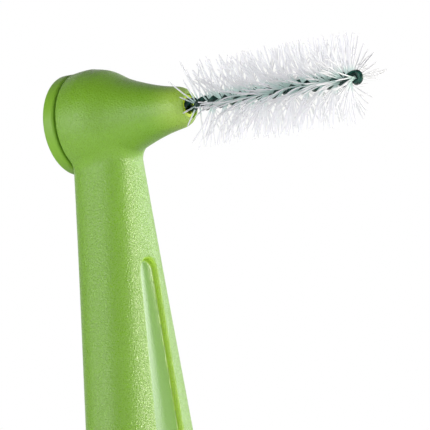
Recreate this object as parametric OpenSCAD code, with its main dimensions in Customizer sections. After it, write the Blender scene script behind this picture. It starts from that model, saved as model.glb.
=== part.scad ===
// Right-angled interdental brush: a slim moulded handle with a barrel-shaped head,
// a plug pressed in from the head's back, and a twisted wire full of fine filaments.
// The brush points along +X, the handle hangs down along -Z, and the origin is the
// middle of the flat back of the plug's disc.

/* [Head] */
// Length of the head, from the disc's back to the nozzle's mouth
head_len = 7.8; // [7:0.05:9]
// Diameter of the head where it is widest
head_d = 5.64; // [5.2:0.02:6.4]
// Diameter of the head's back rim, behind its widest place
rim_d = 5.48; // [5.2:0.02:5.6]
// Distance from the disc's back to the widest place
widest_x = 1.85; // [1.5:0.05:2.4]
// Diameter of the nozzle behind its lip
nozzle_d = 2.14; // [2:0.02:2.6]
// Length of the nozzle's bevelled lip
lip_len = 0.38; // [0.2:0.02:0.6]
// Diameter of the lip at the mouth
lip_d = 1.48; // [1.46:0.02:1.7]
// Rounding of the head's back rim
rim_round = 0.14; // [0.05:0.01:0.2]

/* [Plug] */
// Diameter of the disc that closes the head
disc_d = 5.45; // [5:0.05:5.6]
// Thickness of the disc
disc_t = 0.7; // [0.5:0.05:0.9]
// Rounding of the disc's edge
disc_round = 0.16; // [0.05:0.01:0.24]
// Width of the groove between the disc and the head
groove_w = 0.15; // [0.1:0.01:0.25]
// Depth of that groove
groove_depth = 0.4; // [0.2:0.05:0.6]
// Diameter of the plug's thick part inside the head
core_d = 3.2; // [2.8:0.1:3.6]
// Length of that thick part, from the disc's back
core_len = 3.3; // [2.8:0.1:3.6]
// Length of the cone from the thick part to the thin nose
cone_len = 1.3; // [1:0.1:1.6]
// Diameter of the nose that fills the nozzle
nose_d = 1.26; // [1.1:0.02:1.34]
// How far the nose ends inside the nozzle's mouth
nose_sink = 0.1; // [0.05:0.01:0.5]
// Clearance between the plug and its bore, per side
plug_fit = 0.02; // [0.01:0.005:0.04]

/* [Handle] */
// Distance from the disc's back to the handle's middle line
handle_x = 2.09; // [1.9:0.05:2.3]
// Length of the handle, from the head's axis down to its end
handle_len = 137; // [110:1:160]
// Width of the neck, across the brush
neck_w = 3.62; // [3.4:0.05:4.4]
// Thickness of the neck, along the brush
neck_t = 3.6; // [3.2:0.05:3.8]
// Depth below the head's axis at which the neck is measured
neck_depth = 3.3; // [3.1:0.1:4]
// Width of the grip where it is widest
grip_w = 11.4; // [9:0.1:14]
// Thickness of the grip there
grip_t = 5; // [4:0.1:6.5]
// Depth below the head's axis of the widest place
grip_depth = 46; // [38:1:60]
// Width of the handle near its end
tail_w = 8.4; // [6:0.1:12]
// Thickness of the handle near its end
tail_t = 4; // [3.2:0.1:5]
// Length over which the end is rounded
tail_round = 1.6; // [1:0.1:3]
// Width of the flat face at the very end
end_w = 5.4; // [4:0.1:6]
// Thickness of that flat face
end_t = 3; // [2.2:0.1:3]

/* [Thumb recess] */
// Depth below the head's axis at which the recess begins
recess_top = 7.75; // [6.5:0.05:10]
// Depth below the head's axis at which the recess ends
recess_end = 96; // [80:1:104]
// How deep the recess is sunk
recess_sink = 0.28; // [0.2:0.01:0.5]
// Width of the recess at its top
recess_top_w = 1.25; // [1:0.05:2]
// Width of the recess at the grip's widest place
recess_grip_w = 5.4; // [4:0.1:7]
// Width of the recess just before its lower end
recess_end_w = 3.6; // [2:0.1:5]

/* [Wire] */
// Diameter of the twisted stem over both strands
stem_d = 0.8; // [0.7:0.01:0.9]
// Diameter of one coated strand
strand_d = 0.3; // [0.24:0.01:0.32]
// Diameter of the steel inside a strand
steel_d = 0.18; // [0.12:0.01:0.2]
// Gap between the steel and its coating, per side
coat_fit = 0.005; // [0.002:0.001:0.01]
// Length of the wire outside the nozzle, with its loop
wire_out = 10.8; // [9:0.1:14]
// Length of the twisted tail held in the plug
wire_tail = 2.5; // [2:0.1:3.2]
// Length of one full turn of the twist
twist_pitch = 1.7; // [1.6:0.05:2.4]
// Clearance between the stem and its hole in the plug, per side
stem_fit = 0.02; // [0.01:0.005:0.03]

/* [Bristles] */
// Diameter of the brush over its filaments
brush_d = 4.9; // [3.5:0.1:6]
// Distance from the nozzle's mouth to the first filaments
brush_gap = 0.45; // [0.3:0.05:1.2]
// Distance from the last filaments to the middle of the tip loop
brush_tip_gap = 0.12; // [0.1:0.01:0.3]
// Thickness of one filament
filament_d = 0.1; // [0.08:0.01:0.12]
// Rows of filaments along the stem, eight filaments in each
filament_rows = 50; // [40:1:60]
// Half thickness of the filament bundle, between the two strands
bundle_half_t = 0.08; // [0.06:0.005:0.085]
// Half height of the filament bundle, across the gap between the strands
bundle_half_h = 0.1; // [0.08:0.005:0.12]

/* [Hidden] */

lime = [0.55, 0.72, 0.33];
lime_bright = [0.62, 0.76, 0.14];
wire_green = [0.08, 0.28, 0.2];
steel_grey = [0.72, 0.73, 0.75];
nylon_white = [0.94, 0.94, 0.97];

// How far a cut runs past the face it opens
overrun = 0.5;

head_back = disc_t + groove_w;
nose_start = core_len + cone_len;
nose_end = head_len - nose_sink;

// The head's outline from its widest place to the nozzle: how far along, and how
// much of the drop in radius is still to come
taper_shares = [[0, 1], [0.16, 0.885], [0.36, 0.56], [0.57, 0.315], [0.78, 0.13], [1, 0]];
// Steps of the curve between two neighbouring points of that outline
taper_steps = 5;
// Steps of a rounded edge
round_steps = 5;

// The handle's cross section is a superellipse with this exponent
section_power = 2.55;
// Points round one section, and sections in each stretch of the handle
section_points = 44;
neck_rings = 5;
spread_rings = 16;
grip_rings = 14;
end_rings = 8;
// How steeply the width and the thickness start to grow below the neck, against
// an even growth from neck to grip
width_start_share = 1.42;
thick_start_share = 0.9;
// The handle's first section lies inside the head, at this share of its radius
buried_share = 0.4;

// Sections of the recess in each rounded end and between them, and points over its floor
recess_end_rings = 8;
recess_rings = 30;
floor_points = 7;
// The recess's first and last sections, as a share of its rounded end
recess_tip_share = 0.03;
// How much wider the recess is at its brim, as a share of its depth
wall_lean_share = 0.15;

// Rings in one turn of the wire, sides of a strand, and rings round the loop
turn_rings = 8;
strand_sides = 6;
loop_rings = 8;
// Angle of the strands about the stem where the loop begins, upright at 90
loop_turn = 90;

// Filaments lean along the stem: towards the handle at the nozzle, forwards at the tip
lean_shares = [[0, -1], [0.25, -0.7], [0.6, -0.3], [0.85, -0.05], [1, 0.4]];
// Largest lean, in degrees
lean_max = 24;
// Spread of the filaments of one row on either side of square, in degrees
fan = 36;

strand_off = (stem_d - strand_d) / 2;
loop_x = head_len + wire_out - strand_off - strand_d / 2;
tail_x = head_len - wire_tail;
brush_x0 = head_len + brush_gap;
brush_x1 = loop_x - brush_tip_gap;

// A point of a smooth curve through a table of shares

function gap_index(table, t, i = 0) =
    i >= len(table) - 2 || t <= table[i + 1][0] ? i : gap_index(table, t, i + 1);
function knot_slope(table, i) =
    let (a = table[max(i - 1, 0)], b = table[min(i + 1, len(table) - 1)])
    (b[1] - a[1]) / (b[0] - a[0]);
function hermite(y0, y1, m0, m1, u) =
    y0 * (2 * u ^ 3 - 3 * u ^ 2 + 1) + m0 * (u ^ 3 - 2 * u ^ 2 + u)
    + y1 * (3 * u ^ 2 - 2 * u ^ 3) + m1 * (u ^ 3 - u ^ 2);
function along(table, t) =
    let (i = gap_index(table, t), a = table[i], b = table[i + 1], h = b[0] - a[0])
    hermite(a[1], b[1], knot_slope(table, i) * h, knot_slope(table, i + 1) * h, (t - a[0]) / h);

// Triangles of a closed skin over rings that each have n points

function side_faces(rings, n, first = 0) = [
    for (i = [0:rings - 2], k = [0:n - 1])
        let (a = first + i * n + k, b = first + i * n + (k + 1) % n)
        each [[a, b, b + n], [a, b + n, a + n]]
];
function cap_faces(ring, n, flip) = [
    for (k = [1:n - 2])
        flip ? [ring * n, ring * n + k + 1, ring * n + k] : [ring * n, ring * n + k, ring * n + k + 1]
];
function turned(faces) = [for (f = faces) [f[0], f[2], f[1]]];
function flat(lists) = [for (l = lists) each l];

module skin(rings, inside_out = false) {
    n = len(rings[0]);
    last = len(rings) - 1;
    faces = concat(side_faces(len(rings), n), cap_faces(0, n, true), cap_faces(last, n, false));
    polyhedron(flat(rings), inside_out ? turned(faces) : faces, convexity = 6);
}

module along_x() {
    rotate([0, 90, 0]) children();
}

// The head's outline, as points of radius and distance from the disc's back

function arc(cx, cy, r, from, to) = [
    for (i = [0:round_steps])
        let (a = from + (to - from) * i / round_steps)
        [cx + r * cos(a), cy + r * sin(a)]
];
lip_x = head_len - lip_len;
function taper_r(x) =
    nozzle_d / 2 + (head_d - nozzle_d) / 2 * along(taper_shares, (x - widest_x) / (lip_x - widest_x));
function taper_points() = [
    for (i = [0:len(taper_shares) - 2], k = [0:taper_steps - 1])
        let (t = taper_shares[i][0] + (taper_shares[i + 1][0] - taper_shares[i][0]) * k / taper_steps,
             x = widest_x + t * (lip_x - widest_x))
        [taper_r(x), x]
];
function swell_points() =
    let (run = widest_x - head_back, rise = (head_d - rim_d) / 2)
    [for (k = [1:taper_steps - 1])
        let (u = k / taper_steps)
        if (u * run > rim_round) [rim_d / 2 + rise * sin(90 * u), head_back + u * run]];

module head_solid() {
    outline = concat(
        [[0, head_back]],
        arc(rim_d / 2 - rim_round, head_back + rim_round, rim_round, -90, 0),
        swell_points(),
        taper_points(),
        [[nozzle_d / 2, lip_x], [lip_d / 2, head_len], [0, head_len]]
    );
    along_x() rotate_extrude($fn = 96) polygon(outline);
}

// The handle: half its width, half its thickness and the points of its section,
// at a depth below the head's axis

function growth(u, start) = u < 0 ? start * u : hermite(0, 1, start, 0, u);
function settle(u) = hermite(0, 1, 0, 0, max(min(u, 1), 0));
tail_depth = handle_len - tail_round;
function end_share(s) = s <= tail_depth ? 1 : sqrt(max(1 - ((s - tail_depth) / tail_round) ^ 2, 0));
function girth(s, neck, grip, tail, start) =
    s <= grip_depth
    ? neck + (grip - neck) * growth((s - neck_depth) / (grip_depth - neck_depth), start)
    : grip + (tail - grip) * settle((s - grip_depth) / (tail_depth - grip_depth));
function half_w(s) =
    (end_w + (girth(s, neck_w, grip_w, tail_w, width_start_share) - end_w) * end_share(s)) / 2;
function half_t(s) =
    (end_t + (girth(s, neck_t, grip_t, tail_t, thick_start_share) - end_t) * end_share(s)) / 2;
function power(v) = sign(v) * abs(v) ^ (2 / section_power);
function section(s) = [
    for (k = [0:section_points - 1])
        let (a = 360 * k / section_points)
        [handle_x + half_t(s) * power(cos(a)), half_w(s) * power(sin(a)), -s]
];
function front_x(y, s) =
    handle_x + half_t(s) * max(1 - (abs(y) / half_w(s)) ^ section_power, 0) ^ (1 / section_power);

buried_depth = head_d / 2 * buried_share;
handle_depths = concat(
    [for (i = [0:neck_rings - 1]) buried_depth + (neck_depth - buried_depth) * i / neck_rings],
    [for (i = [0:spread_rings - 1]) neck_depth + (grip_depth - neck_depth) * i / spread_rings],
    [for (i = [0:grip_rings - 1]) grip_depth + (tail_depth - grip_depth) * i / grip_rings],
    [for (i = [0:end_rings]) tail_depth + tail_round * sin(90 * i / end_rings)]
);

// The thumb recess: its half width at a depth, and a cutter whose floor follows the
// handle's front

function recess_body_w(s) =
    s <= grip_depth
    ? recess_top_w + (recess_grip_w - recess_top_w) * max(s - recess_top, 0) / (grip_depth - recess_top)
    : recess_grip_w + (recess_end_w - recess_grip_w) * settle((s - grip_depth) / (recess_end - grip_depth));
function bow(d, r) = d >= r ? 1 : sqrt(1 - (1 - d / r) ^ 2);
function recess_half_w(s) =
    recess_body_w(s) / 2
    * bow(s - recess_top, recess_top_w / 2) * bow(recess_end - s, recess_end_w / 2);
function recess_ring(s) =
    let (w = recess_half_w(s), lean = wall_lean_share * recess_sink, out = handle_x + half_t(s) + overrun)
    concat(
        [for (k = [0:floor_points - 1])
            let (y = w * (2 * k / (floor_points - 1) - 1))
            [front_x(y, s) - recess_sink, y, -s]],
        [[out, w + lean, -s], [out, -w - lean, -s]]
    );
recess_depths = concat(
    [for (i = [0:recess_end_rings - 1])
        recess_top + recess_top_w / 2 * max(1 - cos(90 * i / recess_end_rings), recess_tip_share)],
    [for (i = [0:recess_rings])
        recess_top + recess_top_w / 2
        + (recess_end - recess_end_w / 2 - recess_top - recess_top_w / 2) * i / recess_rings],
    [for (i = [1:recess_end_rings])
        recess_end - recess_end_w / 2 * max(1 - sin(90 * i / recess_end_rings), recess_tip_share)]
);

module plug_bore() {
    along_x() {
        translate([0, 0, -overrun]) cylinder(h = head_back + overrun, d = disc_d + 2 * plug_fit, $fn = 96);
        translate([0, 0, head_back - plug_fit])
            cylinder(h = core_len + plug_fit - head_back + plug_fit, d = core_d + 2 * plug_fit, $fn = 64);
        translate([0, 0, core_len + plug_fit])
            cylinder(h = cone_len, d1 = core_d + 2 * plug_fit, d2 = nose_d + 2 * plug_fit, $fn = 64);
        translate([0, 0, core_len])
            cylinder(h = head_len - core_len + overrun, d = nose_d + 2 * plug_fit, $fn = 48);
    }
}

module handle() {
    color(lime)
    difference() {
        union() {
            head_solid();
            skin([for (s = handle_depths) section(s)]);
        }
        plug_bore();
        skin([for (s = recess_depths) recess_ring(s)], true);
    }
}

module brush_plug() {
    outline = concat(
        [[0, 0]],
        arc(disc_d / 2 - disc_round, disc_round, disc_round, -90, 0),
        arc(disc_d / 2 - disc_round, disc_t - disc_round, disc_round, 0, 90),
        [
            [disc_d / 2 - groove_depth, disc_t],
            [disc_d / 2 - groove_depth, head_back],
            [core_d / 2, head_back],
            [core_d / 2, core_len],
            [nose_d / 2, nose_start],
            [nose_d / 2, nose_end],
            [0, nose_end]
        ]
    );
    color(lime_bright)
    difference() {
        along_x() rotate_extrude($fn = 96) polygon(outline);
        translate([tail_x, 0, 0]) along_x()
            cylinder(h = head_len - tail_x + overrun, d = stem_d + 2 * stem_fit, $fn = 48);
    }
}

// The wire is one hairpin: out along the stem, round the tip loop and back. Each
// entry is a point of its middle line and the direction that faces away from the stem

function twist_angle(x) = loop_turn - 360 * (x - loop_x) / twist_pitch;
function radial(a) = [0, cos(a), sin(a)];
stem_rings = ceil((loop_x - tail_x) / twist_pitch * turn_rings);
function leg(side, order) = [
    for (i = order)
        let (x = tail_x + (loop_x - tail_x) * i / stem_rings, out = side * radial(twist_angle(x)))
        [[x, 0, 0] + strand_off * out, out]
];
function tip_loop() = [
    for (i = [1:loop_rings - 1])
        let (a = 180 * i / loop_rings, out = cos(a) * radial(loop_turn) + [sin(a), 0, 0])
        [[loop_x, 0, 0] + strand_off * out, out]
];
wire_line = concat(leg(1, [0:stem_rings]), tip_loop(), leg(-1, [stem_rings:-1:0]));

function unit(v) = v / norm(v);
function wire_ring(i, d) =
    let (last = len(wire_line) - 1,
         ahead = unit(wire_line[min(i + 1, last)][0] - wire_line[max(i - 1, 0)][0]),
         raw = wire_line[i][1],
         out = unit(raw - (raw * ahead) * ahead),
         across = cross(ahead, out))
    [for (k = [0:strand_sides - 1])
        let (a = 360 * k / strand_sides)
        wire_line[i][0] + d / 2 * (cos(a) * out + sin(a) * across)];
function wire_rings(d) = [for (i = [0:len(wire_line) - 1]) wire_ring(i, d)];

module wire_core() {
    color(steel_grey) skin(wire_rings(steel_d), true);
}

module wire_coating() {
    outer = flat(wire_rings(strand_d));
    inner = flat(wire_rings(steel_d + 2 * coat_fit));
    rings = len(wire_line);
    n = strand_sides;
    shift = len(outer);
    last = (rings - 1) * n;
    ends = [
        for (k = [0:n - 1])
            let (m = (k + 1) % n)
            each [
                [k, shift + m, m], [k, shift + k, shift + m],
                [last + k, last + m, shift + last + m], [last + k, shift + last + m, shift + last + k]
            ]
    ];
    color(wire_green)
        polyhedron(
            concat(outer, inner),
            turned(concat(side_faces(rings, n), turned(side_faces(rings, n, shift)), ends)),
            convexity = 10
        );
}

// The filaments stand on a slim twisted bundle that the two strands pinch. Its
// section has three points on each of the two faces that look out between them

bundle_section = [
    [-bundle_half_t, bundle_half_h], [0, bundle_half_h], [bundle_half_t, bundle_half_h],
    [bundle_half_t, -bundle_half_h], [0, -bundle_half_h], [-bundle_half_t, -bundle_half_h]
];
bundle_n = len(bundle_section);
row_len = (brush_x1 - brush_x0) / filament_rows;
function row_x(i) = brush_x0 + row_len * i;
function placed(x, p) = [x, 0, 0] + p[0] * radial(twist_angle(x)) + p[1] * radial(twist_angle(x) + 90);
bundle_points = [for (i = [0:filament_rows], p = bundle_section) placed(row_x(i), p)];

// Both triangles of each cell of the two outer faces carry a filament
cell_columns = [0, 1, 3, 4];
roots = [
    for (i = [0:filament_rows - 1], k = cell_columns)
        let (a = i * bundle_n + k, b = a + 1)
        each [[a, a + bundle_n, b], [b, a + bundle_n, b + bundle_n]]
];
walls = [
    for (i = [0:filament_rows - 1], k = [2, bundle_n - 1])
        let (a = i * bundle_n + k, b = i * bundle_n + (k + 1) % bundle_n)
        each [[a, a + bundle_n, b], [b, a + bundle_n, b + bundle_n]]
];
bundle_ends = concat(
    [for (k = [2:bundle_n - 1]) [1, k, (k + 1) % bundle_n]],
    [for (k = [2:bundle_n - 1]) let (s = filament_rows * bundle_n) [s + 1, s + (k + 1) % bundle_n, s + k]]
);

function root_mid(r) = (bundle_points[r[0]] + bundle_points[r[1]] + bundle_points[r[2]]) / 3;
function filament_dir(m) =
    let (t = (m[0] - brush_x0) / (brush_x1 - brush_x0),
         lean = lean_max * along(lean_shares, t),
         a = twist_angle(m[0]),
         side = m * radial(a),
         face = sign(m * radial(a + 90)),
         turn = a + 90 * face - face * fan * side / (bundle_half_t * 2 / 3))
    [sin(lean), cos(lean) * cos(turn), cos(lean) * sin(turn)];
function filament_tip(r) =
    let (m = root_mid(r), dir = filament_dir(m), axial = sqrt(1 - dir[0] ^ 2),
         tip = m + dir * (brush_d / 2 - bundle_half_h) / axial,
         out = unit(bundle_points[r[0]] - m),
         u = unit(out - (out * dir) * dir),
         facing = cross(bundle_points[r[1]] - bundle_points[r[0]], bundle_points[r[2]] - bundle_points[r[0]]) * dir,
         v = cross(dir, u) * sign(facing))
    [for (k = [0:2]) tip + filament_d / 2 * (cos(120 * k) * u + sin(120 * k) * v)];
tips = [for (r = roots) each filament_tip(r)];
tip_first = len(bundle_points);
filament_faces = [
    for (j = [0:len(roots) - 1])
        let (r = roots[j], t = tip_first + 3 * j)
        each concat(
            [for (k = [0:2]) each [
                [r[k], r[(k + 1) % 3], t + (k + 1) % 3],
                [r[k], t + (k + 1) % 3, t + k]
            ]],
            [[t, t + 1, t + 2]]
        )
];
echo(filaments = len(roots));

module bristles() {
    color(nylon_white)
        polyhedron(
            concat(bundle_points, tips),
            turned(concat(filament_faces, walls, bundle_ends)),
            convexity = 20
        );
}

handle();
brush_plug();
wire_core();
wire_coating();
bristles();
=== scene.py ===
"""Interdental brush with a right-angled head on a long handle, dressed for a studio still."""
import logging
import math
from collections.abc import Mapping, Sequence
from dataclasses import dataclass, field
from enum import Enum
from typing import Union

import bpy
import numpy as np
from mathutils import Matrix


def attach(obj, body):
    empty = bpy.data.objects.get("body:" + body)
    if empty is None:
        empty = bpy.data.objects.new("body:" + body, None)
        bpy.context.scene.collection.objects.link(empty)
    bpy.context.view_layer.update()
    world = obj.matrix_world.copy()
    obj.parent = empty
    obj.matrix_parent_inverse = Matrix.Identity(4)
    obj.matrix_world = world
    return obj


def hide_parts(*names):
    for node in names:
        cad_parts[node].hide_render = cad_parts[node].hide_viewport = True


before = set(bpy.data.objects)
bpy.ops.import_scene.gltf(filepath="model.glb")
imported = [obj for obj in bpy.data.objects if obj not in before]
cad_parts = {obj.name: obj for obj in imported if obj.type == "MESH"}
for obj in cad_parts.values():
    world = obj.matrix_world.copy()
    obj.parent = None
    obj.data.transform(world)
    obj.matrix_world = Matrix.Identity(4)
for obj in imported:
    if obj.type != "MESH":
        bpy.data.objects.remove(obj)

import openvdb
from mathutils import Matrix, Vector

MM = 0.001
BODY = "root"
FAR = 1e3
SAME_PLACE = 1e-6
NOISE_MIDDLE = 0.5
LOG = logging.getLogger("brush")

Array = np.ndarray
Paint = dict[str | int, object]
Colour = tuple[float, float, float]
Table = tuple[tuple[float, ...], ...]
Mesh = tuple[Array, list[list[int]]]
Term = Union["Sock", Colour, float]

WHITE: Colour = (1.0, 1.0, 1.0)


def srgb(red: int, green: int, blue: int) -> Colour:
    """Turns a colour as a screen shows it into the linear one that a shader takes.

    Args:
        red: Red, 0 to 255.
        green: Green, 0 to 255.
        blue: Blue, 0 to 255.

    Returns:
        The linear colour, each part 0 to 1.
    """
    parts = [v / 255 for v in (red, green, blue)]
    low, slope, lift, power = 0.04045, 12.92, 0.055, 2.4
    return tuple(v / slope if v <= low else ((v + lift) / (1 + lift)) ** power for v in parts)


class Kind(Enum):
    """What a socket carries."""

    VALUE = "value"
    VECTOR = "vector"
    COLOUR = "colour"


class Sock:
    """A node's output that can be used in sums: each operator adds the node that works it out."""

    def __init__(self, net: "Net", socket: bpy.types.NodeSocket, kind: Kind) -> None:
        """Keeps the socket, the tree it is in, and what it carries."""
        self.net, self.socket, self.kind = net, socket, kind

    def _join(self, operation: str, first: Term, second: Term) -> "Sock":
        """Adds a Math node, or a Vector Math node where a vector or a colour takes part.

        Args:
            operation: The node's operation, such as ADD.
            first: Its first input.
            second: Its second input.

        Returns:
            The node's result.
        """
        terms = [first, second]
        plain = [isinstance(v, (int, float)) or getattr(v, "kind", None) is Kind.VALUE for v in terms]
        vector = not all(plain)
        kind = "ShaderNodeVectorMath" if vector else "ShaderNodeMath"
        if vector:
            first, second = ((v, v, v) if isinstance(v, (int, float)) else v for v in terms)
        made = self.net.add(kind, {"operation": operation}, {0: first, 1: second})
        return made.out("Vector" if vector else "Value", Kind.VECTOR if vector else Kind.VALUE)

    def __add__(self, other: Term) -> "Sock":
        """self + other."""
        return self._join("ADD", self, other)

    def __radd__(self, other: Term) -> "Sock":
        """other + self."""
        return self._join("ADD", other, self)

    def __sub__(self, other: Term) -> "Sock":
        """self - other."""
        return self._join("SUBTRACT", self, other)

    def __rsub__(self, other: Term) -> "Sock":
        """other - self."""
        return self._join("SUBTRACT", other, self)

    def __mul__(self, other: Term) -> "Sock":
        """self * other."""
        return self._join("MULTIPLY", self, other)

    def __rmul__(self, other: Term) -> "Sock":
        """other * self."""
        return self._join("MULTIPLY", other, self)

    def __pow__(self, other: Term) -> "Sock":
        """self ** other."""
        return self._join("POWER", self, other)

    def most(self, other: Term) -> "Sock":
        """The larger of the two."""
        return self._join("MAXIMUM", self, other)

    def swing(self, gain: float, middle: float) -> "Sock":
        """Turns noise of 0 to 1 into a swing of a given gain about a middle value."""
        return (self - NOISE_MIDDLE) * gain + middle

    def step(self, low: float, high: float) -> "Sock":
        """Eases from 0 at low to 1 at high.

        Args:
            low: The value that gives 0.
            high: The value that gives 1.

        Returns:
            The eased value.
        """
        made = self.net.add(
            "ShaderNodeMapRange",
            {"interpolation_type": "SMOOTHSTEP"},
            {"Value": self, "From Min": low, "From Max": high},
        )
        return made.out("Result")

    def blend(self, at_zero: "Sock | Colour", at_one: "Sock | Colour") -> "Sock":
        """Mixes two colours by this value.

        Args:
            at_zero: The colour where this is 0.
            at_one: The colour where this is 1.

        Returns:
            The mixed colour.
        """
        made = self.net.add("ShaderNodeMix", {"data_type": "RGBA"}, {0: self, 6: at_zero, 7: at_one})
        return made.out(2, Kind.COLOUR)


class Made:
    """A node that has been added."""

    def __init__(self, net: "Net", node: bpy.types.Node) -> None:
        """Keeps the node and its tree."""
        self.net, self.node = net, node

    def out(self, name: str | int, kind: Kind = Kind.VALUE) -> Sock:
        """One of the node's outputs, ready for sums."""
        return Sock(self.net, self.node.outputs[name], kind)


class Net:
    """A node tree, and the one place where its nodes are made."""

    def __init__(self, tree: bpy.types.NodeTree) -> None:
        """Empties the tree and keeps it."""
        self.tree = tree
        tree.nodes.clear()

    def add(
        self,
        kind: str,
        settings: Mapping[str, object] | None = None,
        sockets: Mapping[str | int, object] | None = None,
    ) -> Made:
        """Adds one node.

        Args:
            kind: The node's type.
            settings: Its properties, which are set first.
            sockets: Its inputs by name or number, each a plain value or a link.

        Returns:
            The node.
        """
        node = self.tree.nodes.new(kind)
        for name, value in (settings or {}).items():
            setattr(node, name, value)
        for name, value in (sockets or {}).items():
            if isinstance(value, Made):
                value = value.out(0)
            if isinstance(value, Sock):
                self.tree.links.new(value.socket, node.inputs[name])
            else:
                self._set_plain(node.inputs[name], value)
        return Made(self, node)

    @staticmethod
    def _set_plain(socket: bpy.types.NodeSocket, value: object) -> None:
        """Sets a socket that has no link.

        Args:
            socket: The socket.
            value: A number, a vector or a colour.
        """
        if socket.type == "RGBA" and len(value) == 3:
            value = (*value, 1.0)
        socket.default_value = value

    def place(self) -> Sock:
        """The place on the object, in metres."""
        return self.add("ShaderNodeTexCoord").out("Object", Kind.VECTOR)

    def axes(self, vector: Sock) -> tuple[Sock, Sock, Sock]:
        """Splits a vector into its three parts."""
        made = self.add("ShaderNodeSeparateXYZ", None, {0: vector})
        return made.out("X"), made.out("Y"), made.out("Z")

    def noise(self, at: Sock, size: float, detail: float = 2.0, rough: float = 0.5) -> Sock:
        """Cloudy noise.

        Args:
            at: Where it is read.
            size: The width of one cloud, in metres.
            detail: How many finer layers are added.
            rough: How strong the finer layers are.

        Returns:
            The noise, about 0 to 1.
        """
        sockets = {"Vector": at, "Scale": 1 / size, "Detail": detail, "Roughness": rough}
        return self.add("ShaderNodeTexNoise", None, sockets).out("Fac")

    def pits(self, at: Sock, size: float) -> Sock:
        """Distance to the nearest of many scattered points.

        Args:
            at: Where it is read.
            size: The usual distance between two points, in metres.

        Returns:
            The distance, as a share of that size.
        """
        made = self.add("ShaderNodeTexVoronoi", {"feature": "SMOOTH_F1"}, {"Vector": at, "Scale": 1 / size})
        return made.out("Distance")

    def mask(self, name: str) -> Sock:
        """A value that the mesh stores at its points."""
        return self.add("ShaderNodeAttribute", {"attribute_name": name}).out("Fac")

    def bump(self, height: Sock, depth: float) -> Sock:
        """Turns a height of 0 to 1 into dents of a depth in metres."""
        made = self.add("ShaderNodeBump", None, {"Height": height, "Distance": depth})
        return made.out("Normal", Kind.VECTOR)


class Finish:
    """A surface finish. Each kind says in paint() what its shader holds."""

    title: str = ""

    def material(self) -> bpy.types.Material:
        """Makes the material and wires it up.

        Returns:
            The material.
        """
        made = bpy.data.materials.new(self.title)
        made.use_nodes = True
        net = Net(made.node_tree)
        net.add("ShaderNodeOutputMaterial", None, {"Surface": self.surface(net)})
        return made

    def surface(self, net: Net) -> Made:
        """Adds the shader."""
        return net.add("ShaderNodeBsdfPrincipled", None, self.paint(net))

    def paint(self, net: Net) -> Paint:
        """Says what each socket of the shader gets."""
        raise NotImplementedError


@dataclass(frozen=True)
class MouldedLime(Finish):
    """Lime-green handle plastic with the fine matte grain of an etched mould."""

    title: str = "moulded_lime"
    base: Colour = srgb(122, 172, 42)
    sunk: Colour = srgb(114, 163, 61)
    # Painted light: lighter yellow-green laid on the recess's wall
    painted_glow: Colour = srgb(178, 222, 58)
    # Painted light: a lighter tone blended in where the nozzle is thin, as if light came through its wall
    mouth: Colour = srgb(157, 194, 72)
    mouth_from: float = 5.6 * MM
    mouth_to: float = 7.7 * MM
    cloud: float = 2.6 * MM
    cloud_detail: float = 3.0
    cloud_gain: float = 0.08
    grain: float = 0.08 * MM
    grain_rough: float = 0.55
    grain_gain: float = 0.3
    grain_depth: float = 0.042 * MM
    grain_share: float = 0.6
    pit: float = 0.108 * MM
    smoothed: float = 0.9
    spark: float = 0.055 * MM
    spark_gain: float = 1.1
    # Painted shade: how much the recess's foot crease is darkened
    crease_painted_shade: float = 0.12
    crease_rough: float = 0.5
    rough: float = 0.4
    rough_sunk: float = 0.2
    sheen: float = 1.0

    def paint(self, net: Net) -> Paint:
        """Grain everywhere but on the smoother recess floor, with painted light and shade in the colour: a
        lighter tone where the nozzle is thin, a lighter yellow-green on the recess's wall and a darker line
        at the recess's foot.

        Args:
            net: The material's nodes.

        Returns:
            What each socket of the shader gets.
        """
        at = net.place()
        sunk, crease = net.mask("sunk"), net.mask("crease")
        grain = net.noise(at, self.grain, rough=self.grain_rough)
        pits = net.pits(at, self.pit)
        # Share of the painted lighter nozzle tone, rising along X
        thin = net.axes(at)[0].step(self.mouth_from, self.mouth_to)
        # Base colour with painted light laid on the recess's wall
        body = net.mask("painted_glow").blend(sunk.blend(self.base, self.sunk), self.painted_glow)
        tone = net.noise(at, self.cloud, self.cloud_detail).swing(self.cloud_gain, 1.0)
        # Random tone and grain speck, less painted shade along the recess's foot crease
        tone = tone + (grain - NOISE_MIDDLE) * self.grain_gain - crease * self.crease_painted_shade
        height = (grain * self.grain_share + pits * (1.0 - self.grain_share)) * (1.0 - sunk * self.smoothed)
        glint = (net.noise(at, self.spark, 0.0) - NOISE_MIDDLE) * self.spark_gain * (1.0 - sunk)
        rough = sunk * (self.rough_sunk - self.rough) + glint + crease * self.crease_rough + self.rough
        return {
            # Base colour carries painted light on the nozzle and the recess's wall, and painted shade at
            # the recess's foot
            "Base Color": tone * thin.blend(body, self.mouth),
            "Roughness": rough,
            "Specular IOR Level": self.sheen,
            "Normal": net.bump(height, self.grain_depth),
        }


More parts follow.
